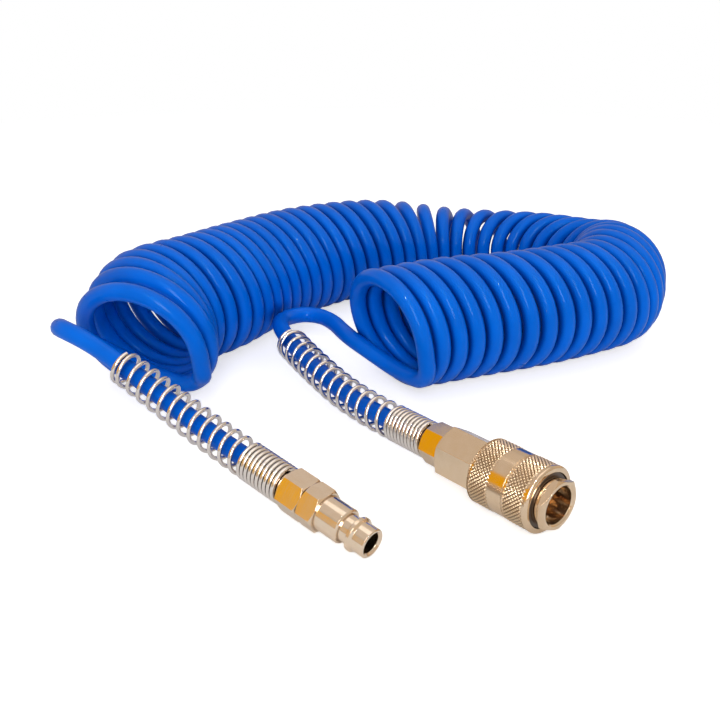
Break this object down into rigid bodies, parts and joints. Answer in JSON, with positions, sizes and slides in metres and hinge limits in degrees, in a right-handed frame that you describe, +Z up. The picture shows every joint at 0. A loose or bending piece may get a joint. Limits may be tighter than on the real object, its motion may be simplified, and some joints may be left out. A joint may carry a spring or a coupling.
{
  "type": "coiled air hose",
  "caption": "Spiral air hose laid in a loop, with a sleeve-locked quick coupler at one end and a matching male plug at the other, both behind wire spring guards.",
  "frame": {"origin": "on the floor under the middle of the box round the fittings and spring guards", "axes": "+X out of the coupler's socket, the way a mating plug leaves; +Z up; +Y towards the coil's far bend"},
  "size_m": [0.2725, 0.329, 0.0643],
  "materials": {
    "blue_hose": "smooth glossy polyurethane, slightly translucent",
    "nickel_plated_brass": "bright nickel plate with fine turning marks",
    "spring_wire": "bright plated round wire",
    "ball_steel": "polished steel",
    "seal_rubber": "smooth black rubber",
    "ring_steel": "dark oxide"
  },
  "bodies": {
    "hose_and_fittings": {"hose_coil_front_leg": "blue_hose", "hose_coil_bend": "blue_hose", "hose_coil_back_run": "blue_hose", "hose_coil_left_leg": "blue_hose", "hose_tail_coupler_side": "blue_hose", "hose_tail_plug_side": "blue_hose", "coupler_spring_guard": "spring_wire", "plug_spring_guard": "spring_wire", "coupler_spring_nut": "nickel_plated_brass", "plug_spring_nut": "nickel_plated_brass", "plug_body": "nickel_plated_brass", "coupler_adapter": "nickel_plated_brass", "coupler_body": "nickel_plated_brass", "sleeve_retaining_ring": "ring_steel", "adapter_seal": "seal_rubber", "socket_seal": "seal_rubber", "sleeve_return_spring": "spring_wire", "valve_spring": "spring_wire"},
    "sleeve": {"coupler_sleeve": "nickel_plated_brass"},
    "valve": {"valve_poppet": "nickel_plated_brass", "valve_seal": "seal_rubber"},
    "ball_1": {"locking_ball_1": "ball_steel"},
    "ball_2": {"locking_ball_2": "ball_steel"},
    "ball_3": {"locking_ball_3": "ball_steel"},
    "ball_4": {"locking_ball_4": "ball_steel"}
  },
  "joints": [
    {"name": "sleeve_slide", "type": "slide", "parent": "hose_and_fittings", "child": "sleeve", "axis": [-1, 0, 0], "range_m": [0, 0.0035], "stiffness_N_per_m": 3000, "springref_m": -0.004, "deforming": ["sleeve_return_spring"]},
    {"name": "valve_slide", "type": "slide", "parent": "hose_and_fittings", "child": "valve", "axis": [-1, 0, 0], "range_m": [0, 0.0042], "stiffness_N_per_m": 1200, "springref_m": -0.004, "deforming": ["valve_spring"]},
    {"name": "ball_1_slide", "type": "slide", "parent": "hose_and_fittings", "child": "ball_1", "axis": [0, 0, 1], "range_m": [0, 0.00075]},
    {"name": "ball_2_slide", "type": "slide", "parent": "hose_and_fittings", "child": "ball_2", "axis": [0, 1, 0], "range_m": [0, 0.00075]},
    {"name": "ball_3_slide", "type": "slide", "parent": "hose_and_fittings", "child": "ball_3", "axis": [0, 0, -1], "range_m": [0, 0.00075]},
    {"name": "ball_4_slide", "type": "slide", "parent": "hose_and_fittings", "child": "ball_4", "axis": [0, -1, 0], "range_m": [0, 0.00075]}
  ],
  "couplings": [
    {"joint": "ball_1_slide", "follows": "sleeve_slide", "ratio": 0.214},
    {"joint": "ball_2_slide", "follows": "sleeve_slide", "ratio": 0.214},
    {"joint": "ball_3_slide", "follows": "sleeve_slide", "ratio": 0.214},
    {"joint": "ball_4_slide", "follows": "sleeve_slide", "ratio": 0.214}
  ]
}
